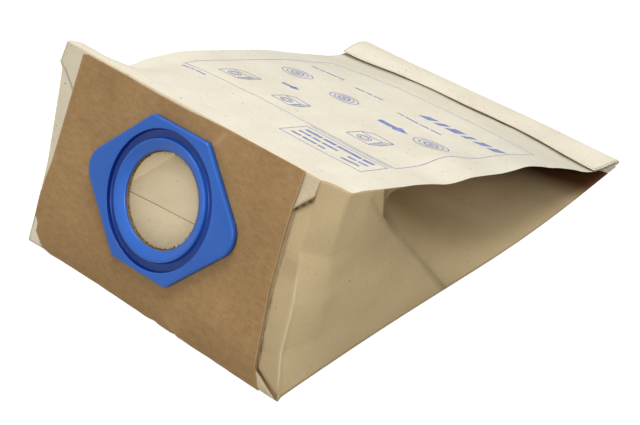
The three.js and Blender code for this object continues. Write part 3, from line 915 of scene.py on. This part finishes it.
def printed_shapes():
    """Every strip and bar of the print."""
    shapes = [ink_outline(frame_left, frame_right, frame_front, frame_back, frame_line),
              ink_outline(label_left, label_right, label_front, label_back, label_line),
              ink_strip([(label_left, label_rule), (label_right, label_rule)], label_line)]
    for row in label_rows:
        shapes += ink_row(*row)
    for picture in bag_pictures:
        shapes += ink_bag(*picture)
    for picture in ring_pictures:
        shapes += ink_rings(*picture)
    for arrow in arrows:
        shapes.append(ink_arrow(*arrow))
    for row in panel_rows:
        shapes += ink_row(*row)
    for count, length in enumerate(bold_bars):
        x = bold_start[0] + bold_spacing * count
        shapes.append(ink_bar(x, bold_start[1], length, bold_height, bold_lean))
    return shapes + ink_row(*corner_row)


def ink_finish():
    """Blue ink soaked into paper: thin and a little patchy."""
    material, tree, ink, place = start_finish("panel_ink")
    patch = noise_share(tree, place, 2.5, 0.35, 0.7)
    colour = mix_colour(tree, patch, ink_dark, ink_thin)
    feed(tree, ink.inputs["Base Color"], colour)
    ink.inputs["Roughness"].default_value = 0.8
    ink.inputs["Specular IOR Level"].default_value = 0.2
    return material


ink_shapes = printed_shapes()
no_tones = [(0.0, 0.0, 0.0)] * len(ink_shapes)
panel_print = join_grids("panel_print", ink_shapes, no_tones, facing=(0, 0, 1))
panel_print.data.materials.append(ink_finish())
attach(panel_print, "root")

# The card plate is stiff kraft board, glued over the flaps. Its right edge flares out
# towards the foot, its lower edge curls in round the bag and is dented, and the hole's rim
# is left fibrous by the punch.
card_thickness = 0.5
card_out = 1.05
card_hole_radius = 26.6
card_rings = 46
card_top = [(-98.6, 113.6), (-95, 114.7), (-63, 114.9), (-47, 114.5), (-14, 114.5), (2, 115.5),
            (18, 115.9), (50, 116.2), (72.2, 116.4)]
card_right = [(72.0, 95), (72.8, 72), (74.4, 50), (76.1, 40), (78.2, 25), (80.7, 10.5), (87, 0.15)]
card_left = [(-80, 0.15), (-87, 1.2), (-97, 8), (-100.6, 13.5), (-100.8, 26), (-100.2, 38),
             (-99.0, 48), (-98.6, 100)]

# Dents of the lower edge: across, half width and depth. Folds: start, end, width, height.
card_lower_dents = [(7.5, 2.2, 0.4), (23.6, 1.3, 0.8), (-40, 6.0, 0.2), (52, 5.0, 0.2)]
card_creases = [((5, 0), (11, 13), 1.6, -0.35), ((24, 1), (8, 6), 1.6, 0.5)]
card_scratch = ((9.5, 103.2), (15.5, 112.5))
card_dark = plain_colour(150, 119, 78)
card_light = plain_colour(163, 131, 88)
card_rubbed = plain_colour(206, 176, 132)
card_shade_brown = plain_colour(96, 70, 42)
card_curl = -0.35
card_curl_rise = 9.0
low_edge_height = 1.0


def along_outline(corners, step):
    """Points every step or so along straight runs between corners, each corner included."""
    corners = np.asarray(corners, dtype=float)
    stations = np.concatenate([[0.0], np.cumsum(np.hypot(*np.diff(corners, axis=0).T))])
    fine = np.unique(np.concatenate([np.arange(0, stations[-1], step), stations]))
    return np.stack([np.interp(fine, stations, corners[:, 0]),
                     np.interp(fine, stations, corners[:, 1])], axis=-1)


def card_relief(across, up):
    """How far the card stands off its flat: it curls in at its foot, is dented there, stands
    off at its right edge, bends in at its lower left corner, and is a little wavy."""
    curl = card_curl * (np.clip(card_curl_rise - up, 0.0, card_curl_rise) / card_curl_rise) ** 2
    lift = 0.5 * smooth_step(across, 66.0, 71.0) * smooth_step(up, 20.0, 60.0)
    corner = -0.8 * (1 - smooth_step(across, -101.0, -88.0)) * (1 - smooth_step(up, 8.0, 26.0))
    wavy = 0.18 * ripple(across, up, 60.0, 61)
    return curl + creases(across, up, card_creases) + lift + corner + wavy


def card_tone(across, up, share):
    """The card's edge is rubbed pale and scratched once, and painted shade darkens its curled foot
    and the rim of its hole."""
    wear_and_highlight = 0.25 * np.clip((share - 0.985) / 0.015, 0, 1)[:, None] * (up > 1.5)
    wear_and_highlight = np.clip(wear_and_highlight + 0.3 * crease(across, up, *card_scratch, 0.8), 0, 1)
    # Painted shade at the curled foot
    foot = 0.25 * (1 - smooth_step(up, 2.0, 25.0))
    from_hole = np.hypot(across - inlet_across, up - inlet_up) - card_hole_radius
    # Painted shade at the rim of the hole
    rim = 0.95 * np.exp(-np.maximum(0.0, from_hole) / 0.7)
    return np.stack([np.zeros_like(foot), wear_and_highlight, np.maximum(foot, rim)], axis=-1)


def card_finish():
    """Brown kraft board: mottled, with short darker and paler fibres."""
    material, tree, board, place = start_finish("kraft_card")
    stretched = add_node(tree, "ShaderNodeMapping", Scale=(1.0, 1.9, 1.9), Vector=place)
    grain_place = stretched.outputs["Vector"]
    wear_and_highlight, painted_shade_and_stain = tone_parts(tree)[1:]
    cloud = noise_share(tree, place, 38.0, 0.3, 0.7)
    colour = mix_colour(tree, cloud, card_dark, card_light)
    blotch = noise_share(tree, grain_place, 5.0, 0.35, 0.68, 6.0)
    colour = darken(tree, blotch, colour, (0.86, 0.84, 0.80))
    fibre = noise_share(tree, grain_place, 1.2, 0.52, 0.72, 6.0)
    colour = darken(tree, fibre, colour, (0.78, 0.74, 0.68))
    colour = mix_colour(tree, wear_and_highlight, colour, card_rubbed)
    # Painted shade at the foot and the hole's rim
    colour = mix_colour(tree, painted_shade_and_stain, colour, card_shade_brown)
    feed(tree, board.inputs["Base Color"], colour)
    board.inputs["Roughness"].default_value = 0.75
    board.inputs["Specular IOR Level"].default_value = 0.3
    grain = grain_bump(tree, place, 1.6, 4.0, 0.25, 0.15)
    feed(tree, board.inputs["Normal"], grain.outputs["Normal"])
    return material


card_outline = along_outline(card_left[::-1][:1] + card_top + card_right + card_left, 1.6)
edge_across = card_outline[:, 0].copy()
low_edge = card_outline[:, 1] < low_edge_height
for dent_across, dent_wide, dent_deep in card_lower_dents:
    dent = dent_deep * np.exp(-((edge_across - dent_across) / dent_wide) ** 2)
    card_outline[:, 1] += low_edge * dent
card_outline[:, 1] += low_edge * 0.12 * ripple(edge_across, 0 * edge_across, 14.0, 66)
card_flat, card_share = hole_rays(card_outline, card_hole_radius, card_rings)
card_across = card_flat[..., 0]
card_up = card_flat[..., 1]
card_grid = on_front(card_across, card_up, card_out + card_relief(card_across, card_up))
card_tones = [card_tone(card_across, card_up, card_share)]
card_plate = join_grids("kraft_plate", [card_grid], card_tones, facing=front_facing)
give_wall(card_plate, card_thickness, 0.0)
card_plate.data.materials.append(card_finish())
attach(card_plate, "root")
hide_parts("card_plate")

# The torn fibres round the punched hole are short slivers of board and paper that point in
# from its rim, just inside the collar.
fibre_count = 420
# The torn fibres' brown, darkened as painted shade at the hole's edge
fibre_shaded_colour = plain_colour(50, 34, 20)


def rim_fibres():
    """Slivers round the hole: each is a thin triangle from the rim, of its own length, lean
    and height."""
    dice = np.random.default_rng(77)
    turn = dice.uniform(0, 2 * math.pi, fibre_count)
    length = dice.uniform(0.5, 2.2, fibre_count) * dice.uniform(0.4, 1.0, fibre_count)
    half = dice.uniform(0.12, 0.4, fibre_count) / card_hole_radius
    lean = dice.normal(0, 0.03, fibre_count)
    level = dice.uniform(0.2, 1.3, fibre_count)
    drop = dice.normal(0, 0.3, fibre_count)
    corners = []
    for shift, inward, fall in ((-half, 0.0, 0.0), (half, 0.0, 0.0), (lean, length, drop)):
        radius = card_hole_radius + 0.3 - inward
        corners.append(on_front(inlet_across + radius * np.cos(turn + shift),
                                inlet_up + radius * np.sin(turn + shift), level + fall))
    return np.stack(corners, axis=1)


fibre_points = settle(rim_fibres()).reshape(-1, 3)
fibre_faces = np.arange(3 * fibre_count).reshape(-1, 3)
fibre_mesh = bpy.data.meshes.new("rim_fibres")
fibre_mesh.from_pydata(fibre_points.tolist(), [], fibre_faces.tolist())
fibre_piece = bpy.data.objects.new("rim_fibres", fibre_mesh)
bpy.context.scene.collection.objects.link(fibre_piece)
give_wall(fibre_piece, 0.06, 0.0)
fibre_material = bpy.data.materials.new("torn_fibre")
fibre_material.use_nodes = True
fibre_shader = fibre_material.node_tree.nodes["Principled BSDF"]
fibre_shader.inputs["Base Color"].default_value = fibre_shaded_colour
fibre_shader.inputs["Roughness"].default_value = 0.85
fibre_mesh.materials.append(fibre_material)
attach(fibre_piece, "root")

# The collar is moulded blue plastic: a long hexagon flange with a rounded rim, a deep ring
# groove for the seal, a crest inside it, and a cone that runs in to the inlet's hole.
collar_out = 1.6
collar_turn = math.radians(0.5)
collar_thickness = 3.8
collar_half_height = 41.8
collar_flat = 21.0
collar_tip = 61.5
collar_corner_radius = 4.0
collar_lobe_radius = 13.5
collar_rim_radius = 1.2
collar_hole_radius = 27.0
groove_outer = 38.6
groove_depth = 3.0
groove_wall_levels = (1.0, 3.6)
crest_radius = 33.4
crest_width = 1.6
collar_dark = plain_colour(34, 86, 168)
collar_light = plain_colour(39, 92, 175)
groove_shade_blue = plain_colour(0, 34, 112)


def collar_corners():
    """Corners of the flange and their radii, in turn from the right lobe."""
    corners = []
    for side in (1, -1):
        corners.append((side * collar_tip, 0.0, collar_lobe_radius))
        for turn in (side, -side):
            corners.append((turn * collar_flat, side * collar_half_height, collar_corner_radius))
    return corners


def collar_outline(inset):
    """The flange's outline moved in by inset: an arc at each corner, and points along the
    straight run from one to the next."""
    corners = collar_corners()
    arcs = []
    for place, (across, up, radius) in enumerate(corners):
        before = corners[place - 1]
        after = corners[(place + 1) % len(corners)]
        arrive = math.atan2(up - before[1], across - before[0]) - math.pi / 2
        leave = math.atan2(after[1] - up, after[0] - across) - math.pi / 2
        turn = (leave - arrive) % (2 * math.pi)
        back = radius / math.cos(turn / 2)
        outwards = arrive + turn / 2
        centre = np.array([across - back * math.cos(outwards), up - back * math.sin(outwards)])
        angles = np.linspace(arrive, arrive + turn, 17)
        arcs.append(centre + (radius - inset) * np.stack([np.cos(angles), np.sin(angles)], axis=-1))
    runs = []
    for place, arc in enumerate(arcs):
        ahead = arcs[(place + 1) % len(arcs)][0]
        share = np.linspace(0.0, 1.0, 20)[1:-1, None]
        runs += [arc, arc[-1] + (ahead - arc[-1]) * share]
    outline = np.concatenate(runs)
    return np.concatenate([outline, outline[:1]])


def collar_rings():
    """The collar's surface as rings: up its rounded rim, over the flat, down and up the
    groove, over the crest, down the cone to the hole, and back under the flange."""
    top = collar_thickness
    rim_start = top - collar_rim_radius
    rings = [(collar_outline(0.0), 0.0), (collar_outline(0.0), rim_start)]
    for turn in np.radians([18, 36, 54, 72, 90]):
        inset = collar_rim_radius * (1 - math.cos(turn))
        rings.append((collar_outline(inset), top - collar_rim_radius * (1 - math.sin(turn))))
    flat_rim = rings[-1][0]
    angles = np.arctan2(flat_rim[:, 1], flat_rim[:, 0])
    circle = np.stack([np.cos(angles), np.sin(angles)], axis=-1)
    for share in (0.25, 0.5, 0.75):
        rings.append((flat_rim + ((groove_outer + 0.5) * circle - flat_rim) * share, top))
    floor = top - groove_depth
    cone_top = crest_radius - crest_width
    profile = [(groove_outer + 0.5, top), (groove_outer + 0.15, top - 0.08),
               (groove_outer, top - 0.35), (groove_outer - 0.3, floor + 0.7),
               (groove_outer - 0.6, floor + 0.15), (groove_outer - 1.2, floor),
               (crest_radius + 1.0, floor), (crest_radius + 0.5, floor + 0.15),
               (crest_radius + 0.3, floor + 0.7), (crest_radius, top - 0.3),
               (crest_radius - 0.2, top - 0.06), (crest_radius - 0.5, top),
               (cone_top + 0.2, top), (cone_top - 0.2, top - 0.12),
               (collar_hole_radius + 0.5, 1.3), (collar_hole_radius + 0.1, 1.1),
               (collar_hole_radius, 0.8), (collar_hole_radius, 0.0)]
    rings += [(radius * circle, level) for radius, level in profile]
    rings.append((collar_outline(0.0), 0.0))
    return rings


def groove_painted_shade(ring, level):
    """Painted shade makes the groove a darker blue, darkest on its walls."""
    radius = np.hypot(ring[:, 0], ring[:, 1])
    sunk = smooth_step(radius, crest_radius - 0.2, crest_radius + 0.6) * (radius < groove_outer + 0.1)
    on_wall = groove_wall_levels[0] < level < groove_wall_levels[1]
    sunk = (0.98 if on_wall else 0.75) * sunk * (level < collar_thickness - 0.2)
    return np.stack([np.zeros_like(sunk), np.zeros_like(sunk), sunk], axis=-1)


def plastic_finish():
    """Moulded blue plastic with a soft gloss and a faint grain."""
    material, tree, plastic, place = start_finish("blue_plastic")
    cloud = noise_share(tree, place, 30.0, 0.3, 0.7)
    colour = mix_colour(tree, cloud, collar_dark, collar_light)
    # Painted shade in the groove
    colour = mix_colour(tree, tone_parts(tree)[2], colour, groove_shade_blue)
    feed(tree, plastic.inputs["Base Color"], colour)
    plastic.inputs["Roughness"].default_value = 0.36
    plastic.inputs["Specular IOR Level"].default_value = 0.35
    grain = grain_bump(tree, place, 0.8, 2.0, 0.06, 0.1)
    feed(tree, plastic.inputs["Normal"], grain.outputs["Normal"])
    return material


collar_levels = []
collar_groove_shades = []
for ring, level in collar_rings():
    collar_groove_shades.append(groove_painted_shade(ring, level))
    across = inlet_across + ring[:, 0] * math.cos(collar_turn) - ring[:, 1] * math.sin(collar_turn)
    up = inlet_up + ring[:, 0] * math.sin(collar_turn) + ring[:, 1] * math.cos(collar_turn)
    collar_levels.append(on_front(across, up, collar_out + level))
collar_piece = join_grids("moulded_collar", [np.stack(collar_levels)], [np.stack(collar_groove_shades)])
collar_piece.data.materials.append(plastic_finish())
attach(collar_piece, "root")
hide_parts("collar")

# The studio is a plain pale floor that shows white and keeps the bag's soft shadow, a wide
# lamp above, a weaker one beside the camera, a narrow one into the inlet, and even light
# all round.
floor_size = 6.0
floor_grey = (0.4, 0.4, 0.4, 1)
floor_glow = 0.74
world_base = 0.42
world_seen = 0.58
upper_lamp_power = 31.0
camera_lamp_power = 7.4
inlet_lamp_power = 29.0
inlet_lamp_angle = math.radians(2.9)
camera_place = (0.563066, -0.603295, 0.599061)
camera_turn = (math.radians(53.597), math.radians(-0.073), math.radians(43.614))
camera_lens = 96.81


def show_white(tree, strength):
    """A strength of white light seen by the camera, in reflections and through glass alone."""
    path = tree.nodes.new("ShaderNodeLightPath")
    rays = [path.outputs[f"Is {kind} Ray"] for kind in ("Camera", "Glossy", "Transmission")]
    seen = combine(tree, "MAXIMUM", rays[0], rays[1])
    return combine(tree, "MULTIPLY", combine(tree, "MAXIMUM", seen, rays[2]), strength)


bpy.ops.mesh.primitive_plane_add(size=floor_size)
floor = bpy.context.object
floor.name = "studio_floor"
floor_material = bpy.data.materials.new("studio_floor")
floor_material.use_nodes = True
floor_tree = floor_material.node_tree
floor_tree.nodes.clear()
matt = add_node(floor_tree, "ShaderNodeBsdfDiffuse", Color=floor_grey)
glow = add_node(floor_tree, "ShaderNodeEmission", Strength=show_white(floor_tree, floor_glow))
floor_output = floor_tree.nodes.new("ShaderNodeOutputMaterial")
join_shaders(floor_tree, "ShaderNodeAddShader", matt, glow, floor_output)
floor.data.materials.append(floor_material)

world = bpy.data.worlds.new("studio")
bpy.context.scene.world = world
world.use_nodes = True
world_tree = world.node_tree
world_light = world_tree.nodes["Background"]
world_light.inputs["Color"].default_value = (1.0, 1.0, 1.0, 1.0)
world_level = combine(world_tree, "ADD", show_white(world_tree, world_seen), world_base)
feed(world_tree, world_light.inputs["Strength"], world_level)


def hang_lamp(name, kind, power, place, aim):
    """A lamp at place that shines at aim."""
    light = bpy.data.lights.new(name, kind)
    light.energy = power
    lamp = bpy.data.objects.new(name, light)
    lamp.location = place
    lamp.rotation_euler = (Vector(aim) - Vector(place)).to_track_quat("-Z", "Y").to_euler()
    bpy.context.scene.collection.objects.link(lamp)
    return light


upper_lamp = hang_lamp("upper_lamp", "AREA", upper_lamp_power, (-0.1, 0.1, 2.0), (0, 0, 0))
upper_lamp.size = 1.0
camera_lamp = hang_lamp("camera_lamp", "AREA", camera_lamp_power, (0.82, -0.92, 0.88), (0, 0, 0))
camera_lamp.size = 0.4
inlet_middle = settle(on_front(inlet_across, inlet_up)).tolist()
inlet_lamp = hang_lamp("inlet_lamp", "SPOT", inlet_lamp_power, camera_place, inlet_middle)
inlet_lamp.spot_size = inlet_lamp_angle
inlet_lamp.spot_blend = 0.35
inlet_lamp.shadow_soft_size = 0.012

camera_data = bpy.data.cameras.new("camera")
camera_data.lens = camera_lens
camera_data.sensor_width = 36.0
camera = bpy.data.objects.new("camera", camera_data)
camera.location = camera_place
camera.rotation_euler = camera_turn
bpy.context.scene.collection.objects.link(camera)
bpy.context.scene.camera = camera
bpy.context.scene.view_settings.view_transform = "Standard"
